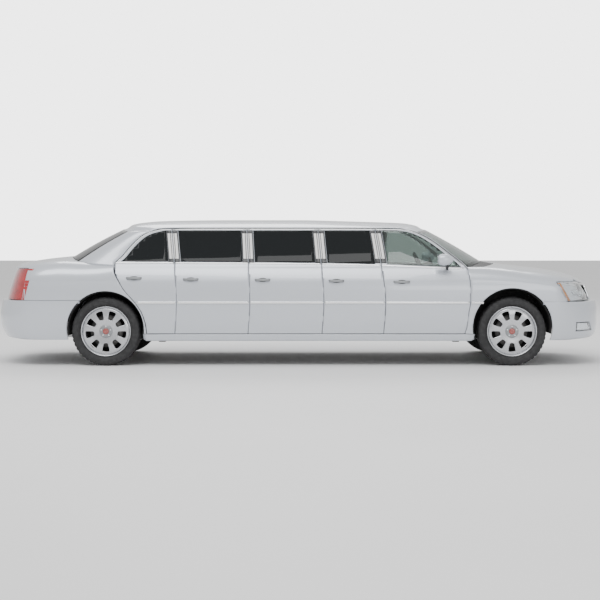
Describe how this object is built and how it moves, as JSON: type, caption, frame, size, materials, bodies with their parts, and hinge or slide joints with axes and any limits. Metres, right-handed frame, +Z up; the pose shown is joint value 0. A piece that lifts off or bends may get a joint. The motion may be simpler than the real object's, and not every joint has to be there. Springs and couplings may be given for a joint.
{
  "type": "stretch limousine",
  "caption": "Long white stretched saloon car with front-hinged doors along each side, dark glass, a hood, a trunk lid, steered front wheels and turning wheels.",
  "frame": {"origin": "on the ground, under the middle of the car's length and width", "axes": "+X forward, +Y to the car's left, +Z up"},
  "size_m": [6.256, 2.091, 1.472],
  "materials": {
    "paint": "pearl white paint under clear coat",
    "underbody": "dark textured coating",
    "chrome": "bright polished",
    "clear_lens": "clear lens over reflectors",
    "red_lens": "deep red lens",
    "clear_glass": "lightly tinted",
    "dark_glass": "dark tinted",
    "cast_metal": "cast and machined",
    "steel": "dull steel",
    "dash": "grained soft plastic",
    "leather": "smooth dark leather",
    "tyre": "black rubber",
    "rim": "bright machined spokes"
  },
  "bodies": {
    "root": {"floor_pan": "underbody", "rocker_panels": "paint", "door_pillars": "underbody", "roof": "paint", "windshield_pillars": "paint", "quarter_panels": "paint", "front_fenders": "paint", "cowl": "underbody", "wheel_liners": "underbody", "front_bumper": "paint", "rear_bumper": "paint", "grille": "chrome", "headlamps": "clear_lens", "tail_lamps": "red_lens", "windshield": "clear_glass", "rear_window": "dark_glass", "engine": "cast_metal", "front_subframe": "cast_metal", "rear_axle": "cast_metal", "exhaust": "steel", "dashboard": "dash", "steering_wheel": "dash", "front_seats": "leather", "cabin_seats": "leather"},
    "hood": {"hood": "paint"},
    "trunk_lid": {"trunk_lid": "paint"},
    "door_1_right": {"door_1_right": "paint", "window_1_right": "clear_glass"},
    "door_2_right": {"door_2_right": "paint", "window_2_right": "dark_glass"},
    "door_3_right": {"door_3_right": "paint", "window_3_right": "dark_glass"},
    "door_4_right": {"door_4_right": "paint", "window_4_right": "dark_glass"},
    "door_5_right": {"door_5_right": "paint", "window_5_right": "dark_glass"},
    "door_1_left": {"door_1_left": "paint", "window_1_left": "clear_glass"},
    "door_2_left": {"door_2_left": "paint", "window_2_left": "dark_glass"},
    "door_3_left": {"door_3_left": "paint", "window_3_left": "dark_glass"},
    "door_4_left": {"door_4_left": "paint", "window_4_left": "dark_glass"},
    "door_5_left": {"door_5_left": "paint", "window_5_left": "dark_glass"},
    "knuckle_right": {"knuckle_right": "cast_metal"},
    "knuckle_left": {"knuckle_left": "cast_metal"},
    "wheel_front_right": {"wheel_front_right": "rim", "tyre_front_right": "tyre"},
    "wheel_front_left": {"wheel_front_left": "rim", "tyre_front_left": "tyre"},
    "wheel_rear_right": {"wheel_rear_right": "rim", "tyre_rear_right": "tyre"},
    "wheel_rear_left": {"wheel_rear_left": "rim", "tyre_rear_left": "tyre"}
  },
  "joints": [
    {"name": "hood_hinge", "type": "hinge", "parent": "root", "child": "hood", "pos_m": [1.866, 0, 0.99], "axis": [0, -1, 0], "range_deg": [0, 50]},
    {"name": "trunk_hinge", "type": "hinge", "parent": "root", "child": "trunk_lid", "pos_m": [-2.255, 0, 1.046], "axis": [0, 1, 0], "range_deg": [0, 75]},
    {"name": "door_1_right_hinge", "type": "hinge", "parent": "root", "child": "door_1_right", "pos_m": [1.6825, -0.936, 0.6], "axis": [0, 0, 1], "range_deg": [0, 65]},
    {"name": "door_2_right_hinge", "type": "hinge", "parent": "root", "child": "door_2_right", "pos_m": [0.83168, -0.936, 0.6], "axis": [0, 0, 1], "range_deg": [0, 65]},
    {"name": "door_3_right_hinge", "type": "hinge", "parent": "root", "child": "door_3_right", "pos_m": [0.21344, -0.936, 0.6], "axis": [0, 0, 1], "range_deg": [0, 65]},
    {"name": "door_4_right_hinge", "type": "hinge", "parent": "root", "child": "door_4_right", "pos_m": [-0.52844, -0.936, 0.6], "axis": [0, 0, 1], "range_deg": [0, 65]},
    {"name": "door_5_right_hinge", "type": "hinge", "parent": "root", "child": "door_5_right", "pos_m": [-1.2615, -0.936, 0.6], "axis": [0, 0, 1], "range_deg": [0, 65]},
    {"name": "door_1_left_hinge", "type": "hinge", "parent": "root", "child": "door_1_left", "pos_m": [1.6825, 0.936, 0.6], "axis": [0, 0, -1], "range_deg": [0, 65]},
    {"name": "door_2_left_hinge", "type": "hinge", "parent": "root", "child": "door_2_left", "pos_m": [0.83168, 0.936, 0.6], "axis": [0, 0, -1], "range_deg": [0, 65]},
    {"name": "door_3_left_hinge", "type": "hinge", "parent": "root", "child": "door_3_left", "pos_m": [0.21344, 0.936, 0.6], "axis": [0, 0, -1], "range_deg": [0, 65]},
    {"name": "door_4_left_hinge", "type": "hinge", "parent": "root", "child": "door_4_left", "pos_m": [-0.52844, 0.936, 0.6], "axis": [0, 0, -1], "range_deg": [0, 65]},
    {"name": "door_5_left_hinge", "type": "hinge", "parent": "root", "child": "door_5_left", "pos_m": [-1.2615, 0.936, 0.6], "axis": [0, 0, -1], "range_deg": [0, 65]},
    {"name": "steer_right", "type": "hinge", "parent": "root", "child": "knuckle_right", "pos_m": [2.14, -0.7775, 0.345], "axis": [0, 0, 1], "range_deg": [-32, 32]},
    {"name": "steer_left", "type": "hinge", "parent": "root", "child": "knuckle_left", "pos_m": [2.14, 0.7775, 0.345], "axis": [0, 0, 1], "range_deg": [-32, 32]},
    {"name": "wheel_front_right_spin", "type": "hinge", "parent": "knuckle_right", "child": "wheel_front_right", "pos_m": [2.14, -0.7975, 0.345], "axis": [0, 1, 0], "continuous": true},
    {"name": "wheel_front_left_spin", "type": "hinge", "parent": "knuckle_left", "child": "wheel_front_left", "pos_m": [2.14, 0.7975, 0.345], "axis": [0, 1, 0], "continuous": true},
    {"name": "wheel_rear_right_spin", "type": "hinge", "parent": "root", "child": "wheel_rear_right", "pos_m": [-1.94, -0.7975, 0.345], "axis": [0, 1, 0], "continuous": true},
    {"name": "wheel_rear_left_spin", "type": "hinge", "parent": "root", "child": "wheel_rear_left", "pos_m": [-1.94, 0.7975, 0.345], "axis": [0, 1, 0], "continuous": true}
  ],
  "couplings": [
    {"joint": "steer_left", "follows": "steer_right", "ratio": 1}
  ]
}
